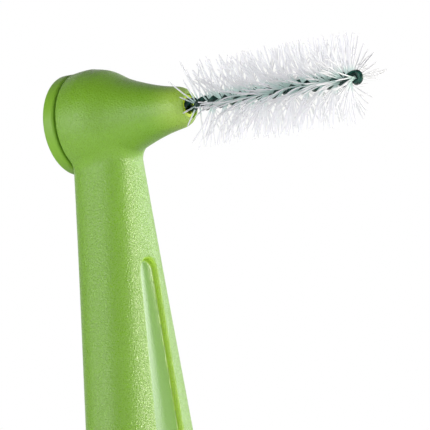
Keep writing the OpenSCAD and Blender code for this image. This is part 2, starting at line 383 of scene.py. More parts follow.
@dataclass(frozen=True)
class PlugLime(Finish):
    """Smoother plastic of the pressed-in plug, with painted light: it turns lighter and yellower towards
    its thin nose.
    """

    title: str = "plug_lime"
    base: Colour = srgb(126, 174, 52)
    # Colour of the painted light at the thin nose
    inner: Colour = srgb(192, 222, 30)
    glow_from: float = 4.2 * MM
    glow_to: float = 6.8 * MM
    grain: float = 0.16 * MM
    grain_depth: float = 0.004 * MM
    grain_gain: float = 0.08
    rough: float = 0.4
    rough_gain: float = 0.1

    def paint(self, net: Net) -> Paint:
        """Painted light: lighter and yellower towards the thin nose.

        Args:
            net: The material's nodes.

        Returns:
            What each socket of the shader gets.
        """
        at = net.place()
        nose = net.axes(at)[0].step(self.glow_from, self.glow_to)
        grain = net.noise(at, self.grain)
        return {
            # Base colour fades into the painted light at the nose
            "Base Color": grain.swing(self.grain_gain, 1.0) * nose.blend(self.base, self.inner),
            "Roughness": grain.swing(self.rough_gain, self.rough),
            "Normal": net.bump(grain, self.grain_depth),
        }


@dataclass(frozen=True)
class DrawnSteel(Finish):
    """Bright stainless wire with faint drawing lines along it."""

    title: str = "drawn_steel"
    base: Colour = (0.62, 0.63, 0.65)
    line: float = 0.02 * MM
    stretch: float = 0.05
    line_gain: float = 0.2
    rough: float = 0.3

    def paint(self, net: Net) -> Paint:
        """Lines from noise that is stretched along the wire.

        Args:
            net: The material's nodes.

        Returns:
            What each socket of the shader gets.
        """
        x, y, z = net.axes(net.place())
        drawn = net.add("ShaderNodeCombineXYZ", None, {0: x * self.stretch, 1: y, 2: z})
        lines = net.noise(drawn.out(0, Kind.VECTOR), self.line)
        return {
            "Base Color": lines.swing(self.line_gain, 1.0) * self.base,
            "Metallic": 1.0,
            "Roughness": lines.swing(self.line_gain, self.rough),
        }


@dataclass(frozen=True)
class GreenCoating(Finish):
    """Dark green plastic skin of the wire, glossy, a little paler where it was stretched in twisting."""

    title: str = "green_coating"
    base: Colour = srgb(5, 38, 33)
    pale: Colour = srgb(34, 88, 76)
    streak: float = 0.35 * MM
    streak_detail: float = 3.0
    streak_rough: float = 0.6
    streak_between: tuple[float, float] = (0.45, 0.75)
    grain: float = 0.05 * MM
    grain_depth: float = 0.004 * MM
    rough: float = 0.27
    rough_gain: float = 0.12

    def paint(self, net: Net) -> Paint:
        """Soft streaks of two greens under a gloss.

        Args:
            net: The material's nodes.

        Returns:
            What each socket of the shader gets.
        """
        at = net.place()
        streak = net.noise(at, self.streak, self.streak_detail, self.streak_rough)
        grain = net.noise(at, self.grain)
        return {
            "Base Color": streak.step(*self.streak_between).blend(self.base, self.pale),
            "Roughness": grain.swing(self.rough_gain, self.rough),
            "Normal": net.bump(grain, self.grain_depth),
        }


@dataclass(frozen=True)
class NylonFilament(Finish):
    """Clear white nylon, with a painted green tint at its root for the wire's coating shining through."""

    title: str = "nylon_filament"
    base: Colour = srgb(244, 244, 251)
    # Painted tint for the coating's green seen through the nylon near the wire
    root: Colour = srgb(208, 235, 230)
    root_to: float = 0.2 * MM
    root_end: float = 0.85 * MM
    front_fade: float = 0.5
    dense: float = 0.92
    let_through: float = 0.74
    streak: float = 0.3 * MM
    tone: float = 0.98
    tone_gain: float = 0.1
    rough: float = 0.36
    rough_gain: float = 0.2

    def paint(self, net: Net) -> Paint:
        """A painted root tint that fades outwards, slower in front of the wire, on strands that let light
        pass.

        Args:
            net: The material's nodes.

        Returns:
            What each socket of the shader gets.
        """
        at = net.place()
        _, y, z = net.axes(at)
        # The painted tint reaches further in front of the wire
        deep = y.most(y * -self.front_fade)
        reach = (deep * deep + z * z) ** 0.5
        out = reach.step(self.root_to, self.root_end)
        streak = net.noise(at, self.streak)
        ray = net.add("ShaderNodeLightPath")
        passing = ray.out("Is Shadow Ray").most(ray.out("Is Diffuse Ray"))
        return {
            "Base Color": streak.swing(self.tone_gain, self.tone) * out.blend(self.root, self.base),
            "Roughness": streak.swing(self.rough_gain, self.rough),
            "Alpha": self.dense - passing * self.let_through,
        }


@dataclass(frozen=True)
class StudioPaper(Finish):
    """Plain pale floor, which shows some of the white surround to the camera and in reflections."""

    title: str = "studio_paper"
    base: Colour = (0.86, 0.86, 0.86)
    tooth: float = 2 * MM
    tooth_gain: float = 0.01
    rough: float = 0.9
    seen: float = 0.6
    mirrored: float = 0.35

    def surface(self, net: Net) -> Made:
        """Paper that gets shadows, mixed with plain white for the rays that carry a picture of it.

        Args:
            net: The material's nodes.

        Returns:
            The mixed shader.
        """
        ray = net.add("ShaderNodeLightPath")
        elsewhere = ray.out("Is Glossy Ray").most(ray.out("Is Transmission Ray"))
        share = ray.out("Is Camera Ray") * self.seen + elsewhere * self.mirrored
        white = net.add("ShaderNodeEmission", None, {"Color": WHITE, "Strength": 1.0})
        return net.add("ShaderNodeMixShader", None, {0: share, 1: super().surface(net), 2: white})

    def paint(self, net: Net) -> Paint:
        """Nearly flat, with a faint tooth."""
        tooth = net.noise(net.place(), self.tooth)
        return {"Base Color": tooth.swing(self.tooth_gain, 1.0) * self.base, "Roughness": self.rough}


def hermite(y0: float, y1: float, m0: float, m1: float, u: Array) -> Array:
    """Smooth curve between two heights with given slopes.

    Args:
        y0: Height at the start.
        y1: Height at the end.
        m0: Slope at the start.
        m1: Slope at the end.
        u: Where it is read, 0 to 1.

    Returns:
        The heights.
    """
    return (
        y0 * (2 * u**3 - 3 * u**2 + 1) + m0 * (u**3 - 2 * u**2 + u)
        + y1 * (3 * u**2 - 2 * u**3) + m1 * (u**3 - u**2)
    )


def along(table: Table, t: Array) -> Array:
    """Smooth curve through a table of shares.

    Args:
        table: Places and heights.
        t: Where it is read.

    Returns:
        The heights.
    """
    xs, ys = (np.array(column, float) for column in zip(*table))
    t = np.asarray(t, float)
    i = np.clip(np.searchsorted(xs, t, side="left") - 1, 0, len(xs) - 2)
    before, after = np.maximum(np.arange(len(xs)) - 1, 0), np.minimum(np.arange(len(xs)) + 1, len(xs) - 1)
    slopes = (ys[after] - ys[before]) / (xs[after] - xs[before])
    gap = xs[i + 1] - xs[i]
    return hermite(ys[i], ys[i + 1], slopes[i] * gap, slopes[i + 1] * gap, (t - xs[i]) / gap)


def settle(u: Array) -> Array:
    """Eases from 0 to 1."""
    return hermite(0, 1, 0, 0, np.clip(u, 0, 1))


def round_join(a: Array, b: Array, radius: float) -> Array:
    """Joins two solids' fields with a fillet of a radius.

    Args:
        a: Distance to the first solid, less than 0 inside.
        b: Distance to the second.
        radius: The fillet's radius.

    Returns:
        Distance to the two together.
    """
    rounding = np.hypot(np.maximum(radius - a, 0), np.maximum(radius - b, 0))
    return np.maximum(radius, np.minimum(a, b)) - rounding


def round_meet(a: Array, b: Array, radius: float) -> Array:
    """What two solids share, with its edge rounded.

    Args:
        a: Distance to the first solid, less than 0 inside.
        b: Distance to the second.
        radius: The edge's radius.

    Returns:
        Distance to the shared part.
    """
    return -round_join(-a, -b, radius)


def unit(rows: Array) -> Array:
    """Scales each row to length 1."""
    return rows / np.linalg.norm(rows, axis=1)[:, None]


def spaced(spans: Table) -> Array:
    """Places along a line, evenly spaced within each span.

    Args:
        spans: Start, end and gap of each span, which starts where the one before it ends.

    Returns:
        The places.
    """
    steps = [(b - a) / max(round((b - a) / gap), 1) for a, b, gap in spans]
    parts = [np.arange(a, b - SAME_PLACE, step) for (a, b, _), step in zip(spans, steps)]
    return np.concatenate([*parts, [spans[-1][1]]])


def turns(steps: int) -> Array:
    """Even angles round a full turn, in radians."""
    return np.arange(steps) * 2 * math.pi / steps


def add_object(name: str, data: bpy.types.ID) -> bpy.types.Object:
    """Adds an object to the scene.

    Args:
        name: Its name.
        data: The mesh, lamp or camera that it holds.

    Returns:
        The object.
    """
    made = bpy.data.objects.new(name, data)
    bpy.context.scene.collection.objects.link(made)
    return made


def to_object(name: str, verts: Array, faces: Sequence, material: bpy.types.Material) -> bpy.types.Object:
    """Makes a smooth-shaded object from points in millimetres.

    Args:
        name: Its name.
        verts: Its points.
        faces: Its faces, as lists of point numbers.
        material: Its material.

    Returns:
        The object, linked to the scene.
    """
    mesh = bpy.data.meshes.new(name)
    mesh.from_pydata((np.asarray(verts) * MM).tolist(), [], [list(map(int, f)) for f in faces])
    mesh.validate()
    mesh.materials.append(material)
    mesh.shade_smooth()
    return add_object(name, mesh)


def put_in_place(piece: bpy.types.Object, node: str) -> None:
    """Says which node a piece stands for, hides that node's solid and attaches the piece.

    Args:
        piece: The piece.
        node: The node of the solid.
    """
    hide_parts(node)
    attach(piece, BODY)
    LOG.info("%s stands for %s: %d faces", piece.name, node, len(piece.data.polygons))


def band(first: int, sides: int) -> list[list[int]]:
    """Faces between a ring of points and the next.

    Args:
        first: Number of the ring's first point in the mesh.
        sides: Points in each ring.

    Returns:
        The faces.
    """
    after = first + sides
    ahead = [(k + 1) % sides for k in range(sides)]
    return [[first + k, first + ahead[k], after + ahead[k], after + k] for k in range(sides)]


def tube(points: Array, side: Array, radii: Array, sides: int, first: int = 0) -> Mesh:
    """A round tube along a line, closed at both ends.

    Args:
        points: Its middle line.
        side: At each point a direction square to the line, from which the ring starts.
        radii: Its radius at each point.
        sides: Steps round it.
        first: Number of its first point in the mesh.

    Returns:
        The points and the faces.
    """
    up = np.cross(unit(np.gradient(points, axis=0)), side)
    turn = turns(sides)[None, :, None]
    ring = np.cos(turn) * side[:, None] + np.sin(turn) * up[:, None]
    rings = points[:, None] + radii[:, None, None] * ring
    last = first + (len(points) - 1) * sides
    faces = [face for start in range(first, last, sides) for face in band(start, sides)]
    faces.append([first + k for k in range(sides)][::-1])
    faces.append([last + k for k in range(sides)])
    return rings.reshape(-1, 3), faces


def spun(profile: Sequence[tuple[float, float]], sides: int) -> Mesh:
    """Turns an outline about the X axis.

    Args:
        profile: Points of distance along X and radius, the first and the last on the axis.
        sides: Steps round the axis.

    Returns:
        The points and the faces.
    """
    inner = profile[1:-1]
    verts = [(profile[0][0], 0, 0)]
    verts += [(x, r * math.cos(a), r * math.sin(a)) for x, r in inner for a in turns(sides)]
    verts.append((profile[-1][0], 0, 0))
    last, rim = len(verts) - 1, 1 + (len(inner) - 1) * sides
    faces = [[0, 1 + (k + 1) % sides, 1 + k] for k in range(sides)]
    faces += [face for start in range(1, rim, sides) for face in band(start, sides)]
    faces += [[last, rim + k, rim + (k + 1) % sides] for k in range(sides)]
    return np.array(verts), faces


def corner(
    x: float, r: float, radius: float, start: float, end: float, steps: int = 6
) -> list[tuple[float, float]]:
    """Points of a rounded edge.

    Args:
        x: Middle of the rounding, along X.
        r: Middle of the rounding, from the axis.
        radius: Its radius.
        start: First angle in degrees, 0 along X and 90 outwards.
        end: Last angle.
        steps: Number of steps.

    Returns:
        Points of distance along X and radius.
    """
    angles = np.radians(np.linspace(start, end, steps + 1))
    return [(x + radius * math.cos(a), r + radius * math.sin(a)) for a in angles]


@dataclass
class Handle:
    """The moulded handle with its barrel head, in millimetres.

    Its surface is where a field of distances is 0: the fields of head and shaft are joined, and those of
    the thumb recess and the plug's bore are cut out.
    """

    head_len: float = 7.8
    head_d: float = 5.64
    rim_d: float = 5.48
    widest_x: float = 1.85
    nozzle_d: float = 2.14
    lip_len: float = 0.38
    lip_d: float = 1.48
    head_back: float = 0.85
    rim_round: float = 0.14
    outline_steps: int = 700
    taper: Table = ((0, 1), (0.16, 0.885), (0.36, 0.56), (0.57, 0.315), (0.78, 0.13), (1, 0))
    middle_x: float = 2.09
    length: float = 137.0
    neck: tuple[float, float, float] = (3.3, 3.62, 3.6)
    grip: tuple[float, float, float] = (46.0, 11.4, 5.0)
    tail: tuple[float, float, float] = (135.4, 8.4, 4.0)
    end_face: tuple[float, float] = (5.4, 3.0)
    section_power: float = 2.55
    growth: tuple[float, float] = (1.42, 0.9)
    buried: float = 1.128
    blend_round: float = 0.4
    recess_top: float = 7.75
    recess_end: float = 96.0
    recess_sink: float = 0.28
    recess_widths: tuple[float, float, float] = (1.25, 5.4, 3.6)
    recess_lean: float = 0.15
    recess_hollow: float = 0.08
    brim_round: float = 0.18
    foot_round: float = 0.05
    floor_band: float = 0.08
    wall_band: float = 0.15
    wall_reach: float = 1.2
    crease_band: float = 0.09
    bore: Table = ((0.85, 2.745), (3.32, 1.62), (4.62, 0.65))
    bore_round: float = 0.02
    lip_round: float = 0.12
    x_spans: Table = ((-0.75, 0.7, 0.11), (0.7, 1.1, 0.05), (1.1, 6.9, 0.1), (6.9, 8.0, 0.042))
    y_spans: Table = (
        (-6.0, -3.0, 0.17), (-3.0, -1.3, 0.13), (-1.3, 1.3, 0.064), (1.3, 3.0, 0.13), (3.0, 6.0, 0.17),
    )
    z_spans: Table = ((-17.0, -3.1, 0.11), (-3.1, -1.3, 0.09), (-1.3, 1.3, 0.066), (1.3, 3.1, 0.09))
    grid_end: float = -137.3
    step_growth: float = 1.1
    step_limit: float = 1.4
    pulls: int = 4
    pull_limit: float = 0.1
    slope_span: float = 0.004
    least_share: float = 1e-4
    least_slope: float = 1e-3
    least_square: float = 0.05
    least_length: float = 1e-6
    finish: MouldedLime = field(default_factory=MouldedLime)

    def __post_init__(self) -> None:
        """Works out the head's outline once."""
        self.xs = np.linspace(self.head_back, self.head_len, self.outline_steps)
        lip_x = self.head_len - self.lip_len
        run, rise = self.widest_x - self.head_back, (self.head_d - self.rim_d) / 2
        quarter = math.pi / 2 * np.clip((self.xs - self.head_back) / run, 0, 1)
        swell = self.rim_d / 2 + rise * np.sin(quarter)
        share = np.clip((self.xs - self.widest_x) / (lip_x - self.widest_x), 0, 1)
        drop = self.nozzle_d / 2 + (self.head_d - self.nozzle_d) / 2 * along(self.taper, share)
        self.radii = np.where(self.xs < self.widest_x, swell, drop)
        self.slopes = np.gradient(self.radii, self.xs)

    def girth(self, s: Array, part: int) -> Array:
        """Half of the handle's width or thickness.

        Args:
            s: Depth below the head's axis.
            part: 1 for the width, 2 for the thickness.

        Returns:
            The half sizes.
        """
        u = (s - self.neck[0]) / (self.grip[0] - self.neck[0])
        start = self.growth[part - 1]
        grow = np.where(u < 0, start * u, hermite(0, 1, start, 0, u))
        upper = self.neck[part] + (self.grip[part] - self.neck[part]) * grow
        fall = settle((s - self.grip[0]) / (self.tail[0] - self.grip[0]))
        lower = self.grip[part] + (self.tail[part] - self.grip[part]) * fall
        q = np.clip((s - self.tail[0]) / (self.length - self.tail[0]), 0, 1)
        face = self.end_face[part - 1]
        return (face + (np.where(s <= self.grip[0], upper, lower) - face) * np.sqrt(1 - q**2)) / 2

    def shaft(self, x: Array, y: Array, z: Array) -> Array:
        """Distance to the handle below the head.

        Args:
            x: Places along X.
            y: Places along Y.
            z: Places along Z.

        Returns:
            The distance, less than 0 inside.
        """
        s, p = -z, self.section_power
        half_w, half_t = self.girth(s, 1), self.girth(s, 2)
        u, v = np.abs(x - self.middle_x) / half_t, np.abs(y) / half_w
        n = np.maximum((u**p + v**p) ** (1 / p), self.least_share)
        slope = n ** (1 - p) * np.hypot(u ** (p - 1) / half_t, v ** (p - 1) / half_w)
        side = (n - 1) / np.maximum(slope, self.least_slope)
        return np.maximum(side, np.maximum(self.buried - s, s - self.length))

    def head(self, x: Array, r: Array) -> Array:
        """Distance to the head without its bore.

        Args:
            x: Places along X.
            r: Distances from the brush's axis.

        Returns:
            The distance, less than 0 inside.
        """
        radius, slope = np.interp(x, self.xs, self.radii), np.interp(x, self.xs, self.slopes)
        skin = (r - radius) / np.sqrt(1 + slope**2)
        nozzle_r, drop = self.nozzle_d / 2, (self.nozzle_d - self.lip_d) / 2
        lip_x = self.head_len - self.lip_len
        bevel = ((x - lip_x) * drop + (r - nozzle_r) * self.lip_len) / math.hypot(drop, self.lip_len)
        solid = round_meet(skin, self.head_back - x, self.rim_round)
        return round_meet(round_meet(solid, bevel, self.lip_round), x - self.head_len, self.lip_round)

    def hollow(self, x: Array, r: Array) -> Array:
        """Distance to the plug's bore.

        Args:
            x: Places along X.
            r: Distances from the brush's axis.

        Returns:
            The distance, less than 0 inside the bore.
        """
        (back, wide), (core_end, core_r), (cone_end, nose_r) = self.bore
        seat = np.maximum(r - wide, x - back)
        core = np.maximum(r - core_r, x - core_end)
        steep = (core_r - nose_r) / (cone_end - core_end)
        cone_r = core_r - (x - core_end) * steep
        cone = np.maximum((r - cone_r) / math.hypot(1, steep), np.maximum(core_end - x, x - cone_end))
        return np.minimum(np.minimum(seat, core), np.minimum(cone, r - nose_r))

    def recess_half(self, s: Array) -> Array:
        """Half of the thumb recess's width.

        Args:
            s: Depth below the head's axis.

        Returns:
            The half sizes.
        """
        top_w, grip_w, end_w = self.recess_widths
        widest = self.grip[0]
        spread = top_w + (grip_w - top_w) * np.maximum(s - self.recess_top, 0) / (widest - self.recess_top)
        close = grip_w + (end_w - grip_w) * settle((s - widest) / (self.recess_end - widest))
        return np.where(s <= widest, spread, close) / 2

    def recess(self, x: Array, y: Array, z: Array) -> tuple[Array, Array]:
        """The thumb recess.

        Args:
            x: Places along X.
            y: Places along Y.
            z: Places along Z.

        Returns:
            Distance to its floor, less than 0 above it, and distance to its wall, less than 0 inside it.
        """
        s, p = -z, self.section_power
        half_w, half_t = self.girth(s, 1), self.girth(s, 2)
        front = self.middle_x + half_t * np.maximum(1 - (np.abs(y) / half_w) ** p, 0) ** (1 / p)
        half = self.recess_half(s)
        across = np.clip(np.abs(y) / half, 0, 1)
        floor = front - self.recess_sink - self.recess_hollow * (1 - across**2) - x
        top_w, _, end_w = self.recess_widths
        wall = np.abs(y) - half
        for centre, way in ((self.recess_top + top_w / 2, -1), (self.recess_end - end_w / 2, 1)):
            arc = np.hypot(y, s - centre) - self.recess_half(np.array(centre))
            wall = np.maximum(wall, np.where(s * way > centre * way, arc, -FAR))
        return floor, wall + np.clip(floor, -1, 0) * self.recess_lean

    def solid(self, points: Array) -> Array:
        """The whole handle.

        Args:
            points: Places, one row each.

        Returns:
            Distance to its surface, less than 0 inside.
        """
        x, y, z = points[..., 0], points[..., 1], points[..., 2]
        r = np.hypot(y, z)
        body = round_join(self.head(x, r), self.shaft(x, y, z), self.blend_round)
        floor, wall = self.recess(x, y, z)
        body = round_meet(body, -round_meet(floor, wall, self.foot_round), self.brim_round)
        return round_meet(body, -self.hollow(x, r), self.bore_round)

    def grid_lines(self) -> tuple[Array, Array, Array]:
        """Places of the grid on which the surface is found: fine at the mouth, coarse down the handle.

        Returns:
            The places along X, Y and Z.
        """
        lower, (depth, _, step) = [], self.z_spans[0]
        while depth > self.grid_end:
            step = min(step * self.step_growth, self.step_limit)
            depth -= step
            lower.append(depth)
        z = np.concatenate([lower[::-1], spaced(self.z_spans)])
        return spaced(self.x_spans), spaced(self.y_spans), z

    def slope(self, points: Array) -> Array:
        """How the field grows along each axis.

        Args:
            points: Places, one row each.

        Returns:
            The growth per millimetre along X, Y and Z, one row for each place.
        """
        shifts = np.eye(3) * self.slope_span
        parts = [self.solid(points + shift) - self.solid(points - shift) for shift in shifts]
        return np.stack(parts, -1) / (2 * self.slope_span)

    def skin(self) -> tuple[Array, Array]:
        """Finds the surface on the grid and draws its points onto it.

        Returns:
            The points and the faces, whose outer sides face outwards.
        """
        lines = self.grid_lines()
        values = self.solid(np.stack(np.meshgrid(*lines, indexing="ij"), -1))
        grid = openvdb.FloatGrid(1.0)
        grid.copyFromArray(np.clip(values, -1, 1).astype(np.float32))
        cells, quads = grid.convertToQuads(isovalue=0.0)
        cells, quads = cells.astype(float), quads.astype(int)
        points = np.stack([np.interp(cells[:, i], np.arange(len(lines[i])), lines[i]) for i in range(3)], 1)
        for _ in range(self.pulls):
            slope = self.slope(points)
            size = np.maximum((slope**2).sum(1), self.least_square)
            move = -(self.solid(points) / size)[:, None] * slope
            points += np.clip(move, -self.pull_limit, self.pull_limit)
        a, b, c, d = (points[quads[:, k]] for k in range(4))
        volume = (a * (np.cross(b, c) + np.cross(c, d))).sum() / 6
        LOG.info("handle volume %.1f mm3", abs(volume))
        return points, quads[:, ::-1] if volume < 0 else quads

    def masks(self, points: Array) -> dict[str, Array]:
        """Where the recess's floor, its wall and its foot are; the wall's and the foot's values place
        painted light and painted shade.

        Args:
            points: The surface's points, one row each.

        Returns:
            Values of 0 to 1 at the points, by the names that the finish reads.
        """
        floor, wall = self.recess(*points.T)
        deep = (floor < 0) & (floor > -self.wall_reach * self.recess_sink)
        return {
            "sunk": np.clip(1 - np.abs(floor) / self.floor_band, 0, 1) * (wall < 0),
            # Where the painted lighter colour goes on the recess's wall
            "painted_glow": np.clip(1 - np.abs(wall) / self.wall_band, 0, 1) * deep,
            # Where painted shade and extra roughness go, at the recess's foot
            "crease": np.clip(1 - np.maximum(np.abs(floor), np.abs(wall)) / self.crease_band, 0, 1),
        }

    def dress(self) -> None:
        """Builds the handle with the masks that its finish reads, and puts it in place of its solid."""
        points, quads = self.skin()
        made = to_object("handle_body", points, quads, self.finish.material())
        slope = self.slope(points)
        normals = slope / np.maximum(np.linalg.norm(slope, axis=1), self.least_length)[:, None]
        made.data.normals_split_custom_set_from_vertices(normals.tolist())
        for name, values in self.masks(points).items():
            layer = made.data.attributes.new(name, "FLOAT", "POINT")
            layer.data.foreach_set("value", values.astype(np.float32))
        put_in_place(made, "handle")


@dataclass
class Plug:
    """The plug that closes the head and holds the wire's tail, in millimetres."""

    disc_d: float = 5.45
    disc_t: float = 0.7
    disc_round: float = 0.16
    back_share: float = 0.5
    groove_depth: float = 0.4
    head_back: float = 0.85
    core_d: float = 3.2
    core_len: float = 3.3
    nose_start: float = 4.6
    nose_d: float = 1.26
    nose_end: float = 7.7
    nose_round: float = 0.05
    nose_steps: int = 3
    hole_d: float = 0.84
    hole_from: float = 5.3
    sides: int = 160
    sharp_angle: float = 38.0
    finish: PlugLime = field(default_factory=PlugLime)

    def outline(self) -> list[tuple[float, float]]:
        """The outline that is turned about the brush's axis.

        Returns:
            Points of distance along X and radius.
        """
        rim, core, nose, hole = (d / 2 for d in (self.disc_d, self.core_d, self.nose_d, self.hole_d))
        soft, tip, groove = self.disc_round, self.nose_round, rim - self.groove_depth
        return [
            (0, 0),
            (0, rim * self.back_share),
            *corner(soft, rim - soft, soft, 180, 90),
            *corner(self.disc_t - soft, rim - soft, soft, 90, 0),
            (self.disc_t, groove),
            (self.head_back, groove),
            (self.head_back, core),
            (self.core_len, core),
            (self.nose_start, nose),
            *corner(self.nose_end - tip, nose - tip, tip, 90, 0, self.nose_steps),
            (self.nose_end, hole),
            (self.hole_from, hole),
            (self.hole_from, 0),
        ]

    def dress(self) -> None:
        """Builds the plug and puts it in place of its solid."""
        verts, faces = spun(self.outline(), self.sides)
        made = to_object("plug_body", verts, faces, self.finish.material())
        made.data.set_sharp_from_angle(angle=math.radians(self.sharp_angle))
        put_in_place(made, "brush_plug")


@dataclass
class Wire:
    """The twisted hairpin of coated wire, in millimetres."""

    strand_off: float = 0.25
    strand_d: float = 0.3
    loop_x: float = 18.2
    tail_x: float = 5.3
    loop_turn: float = math.pi / 2
    pitch: float = 1.7
    turn_rings: int = 36
    loop_rings: int = 28
    # Sizes of the dark drop put in the loop's hole as stand-in shade
    eye: tuple[float, float, float] = (0.13, 0.09, 0.15)
    eye_shift: float = 0.03
    eye_steps: int = 8
    sides: int = 20
    finish: GreenCoating = field(default_factory=GreenCoating)
    steel: DrawnSteel = field(default_factory=DrawnSteel)

    def twist(self, x: Array) -> Array:
        """Angle of the strands about the stem, in radians."""
        return self.loop_turn - 2 * math.pi * (np.asarray(x) - self.loop_x) / self.pitch

    def line(self) -> tuple[Array, Array]:
        """The wire's middle line.

        Returns:
            Its points, and at each the direction that faces away from the stem.
        """
        rings = math.ceil((self.loop_x - self.tail_x) / self.pitch * self.turn_rings)
        x = np.linspace(self.tail_x, self.loop_x, rings + 1)
        a = self.twist(x)
        out = np.stack([np.zeros_like(a), np.cos(a), np.sin(a)], 1)
        stem = np.stack([x, np.zeros_like(x), np.zeros_like(x)], 1)
        b = np.linspace(0, math.pi, self.loop_rings + 1)[1:-1]
        side, turn = np.cos(b), self.loop_turn
        loop_out = np.stack([np.sin(b), side * math.cos(turn), side * math.sin(turn)], 1)
        loop = np.array([self.loop_x, 0, 0]) + self.strand_off * loop_out
        points = np.concatenate([stem + self.strand_off * out, loop, (stem - self.strand_off * out)[::-1]])
        return points, np.concatenate([out, loop_out, -out[::-1]])

    def skin(self) -> Mesh:
        """The coating's tube, and a small dark drop of coating that fills the hole of the loop and stands
        in for the shade there.

        Returns:
            The points and the faces.
        """
        points, raw = self.line()
        ahead = unit(np.gradient(points, axis=0))
        out = unit(raw - (raw * ahead).sum(1)[:, None] * ahead)
        verts, faces = tube(points, out, np.full(len(points), self.strand_d / 2), self.sides)
        arc = np.linspace(math.pi, 0, self.eye_steps + 1)
        # Dark drop in the loop's hole, standing in for the shade among the filament roots there
        eye, eye_faces = spun([(math.cos(a), math.sin(a)) for a in arc], self.sides)
        eye = eye * self.eye + [self.loop_x + self.eye_shift, 0, 0]
        faces += [[len(verts) + k for k in face] for face in eye_faces]
        return np.concatenate([verts, eye]), faces

    def dress(self) -> None:
        """Builds the coating, and gives the steel inside it its finish."""
        made = to_object("coating_body", *self.skin(), self.finish.material())
        put_in_place(made, "wire_coating")
        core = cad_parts["wire_core"]
        steel = self.steel.material()
        for slot in core.material_slots:
            slot.material = steel
        LOG.info("wire_core keeps its solid and gets %s", steel.name)


@dataclass
class Filaments:
    """The nylon filaments that the two strands pinch, in millimetres."""

    wire: Wire
    start_x: float = 8.35
    end_x: float = 18.22
    reach: float = 2.45
    reach_spread: float = 0.035
    thick: float = 0.082
    tip_share: float = 0.55
    count: int = 285
    rings: int = 9
    sides: int = 6
    side_hint: tuple[float, float, float] = (0.31, 0.87, 0.38)
    layers: float = 0.07
    lean: Table = ((0, -12), (0.3, -9), (0.6, -6), (0.85, 0), (1, 4))
    droop: Table = ((0, 2), (0.5, 9), (0.9, 10), (1, 3))
    jitter: float = 0.4
    crowd: float = 0.72
    bare_to: float = 9.0
    mouth_to: float = 10.6
    mouth_fan: float = 1.15
    mouth_lean: float = 28.0
    strays: Table = (
        (8.25, 149, -6, 2.4), (8.25, 125, -3, 1.6), (8.25, 166, 0, 1.6),
        (8.35, -163, -1, 1.6), (8.25, -134, -1, 1.6), (8.4, 114, 0, 2.0),
    )
    turn_spread: float = 10.0
    lean_spread: float = 3.8
    bend_spread: float = 0.1
    swirl_spread: float = 4.0
    cap_angle: float = 70.0
    seed: int = 7
    finish: NylonFilament = field(default_factory=NylonFilament)

    def path(
        self, x: float, angle: float, lean: float, reach: float, bend: float = 0.0, swirl: float = 0.0
    ) -> Array:
        """Middle line of one filament, from the stem's axis outwards.

        Args:
            x: Where it is pinched.
            angle: Its direction about the stem, in radians.
            lean: How far it leans along the stem, in radians.
            reach: How far its tip is from the axis.
            bend: How far its tip curls along the stem.
            swirl: How far its tip turns about the stem, in radians.

        Returns:
            Its points.
        """
        t = np.linspace(0, 1, self.rings)
        r = reach * t
        a = angle + swirl * t**2
        shift = math.tan(lean) * r + bend * t**2
        return np.stack([x + shift, r * np.cos(a), r * np.sin(a)], 1)

    def pair(self, index: int, rng: np.random.Generator) -> list[Array]:
        """Middle lines of the two filaments that point opposite ways from one place.

        Args:
            index: Which place along the wire.
            rng: Where the random draws come from.

        Returns:
            The lines, without one that would hide the bare wire at the mouth.
        """
        share = np.clip((index + rng.uniform(-self.jitter, self.jitter)) / (self.count - 1), 0, 1)
        share = float(share) ** self.crowd
        x = self.start_x + (self.end_x - self.start_x) * share
        base, droop = (math.radians(float(along(table, share))) for table in (self.lean, self.droop))
        wound = float(self.wire.twist(x))
        layer = np.array([0, math.cos(wound), math.sin(wound)]) * rng.uniform(-self.layers, self.layers)
        near = max(1 - (x - self.start_x) / (self.mouth_to - self.start_x), 0)
        lines = []
        for opposite in (0, math.pi):
            angle = wound + math.pi / 2 + opposite + math.radians(rng.normal(0, self.turn_spread))
            facing = -math.cos(angle) > math.cos(self.mouth_fan)
            if facing and x < self.bare_to:
                continue
            lean = base + math.radians(self.mouth_lean) * near * facing - droop * max(-math.sin(angle), 0)
            lean += math.radians(rng.normal(0, self.lean_spread))
            reach = self.reach * (1 - abs(rng.normal(0, self.reach_spread)))
            bend, swirl = rng.normal(0, self.bend_spread), math.radians(rng.normal(0, self.swirl_spread))
            lines.append(self.path(x, angle, lean, reach, bend, swirl) + layer)
        return lines

    def strand(self, points: Array, first: int) -> Mesh:
        """One filament, a little thinner at its tip.

        Args:
            points: Its middle line.
            first: Number of its first point in the mesh.

        Returns:
            The points and the faces.
        """
        side = unit(np.cross(unit(np.gradient(points, axis=0)), self.side_hint))
        radii = np.full(len(points), self.thick / 2)
        radii[-1] *= self.tip_share
        return tube(points, side, radii, self.sides, first)

    def dress(self) -> None:
        """Builds all the filaments as one piece and puts it in place of its solid."""
        rng = np.random.default_rng(self.seed)
        lines = [line for i in range(self.count) for line in self.pair(i, rng)]
        lines += [self.path(x, math.radians(a), math.radians(lean), r) for x, a, lean, r in self.strays]
        strands = [self.strand(line, i * self.rings * self.sides) for i, line in enumerate(lines)]
        verts = np.concatenate([points for points, _ in strands])
        faces = [face for _, quads in strands for face in quads]
        made = to_object("filament_bundle", verts, faces, self.finish.material())
        made.data.set_sharp_from_angle(angle=math.radians(self.cap_angle))
        put_in_place(made, "bristles")


def direction(azimuth: float, elevation: float) -> Vector:
    """Turns two angles into a direction.

    Args:
        azimuth: Degrees from the object's front (-Y) towards +X.
        elevation: Degrees above the level.

    Returns:
        The unit vector that points there.
    """
    az, el = math.radians(azimuth), math.radians(elevation)
    return Vector((math.sin(az) * math.cos(el), -math.cos(az) * math.cos(el), math.sin(el)))


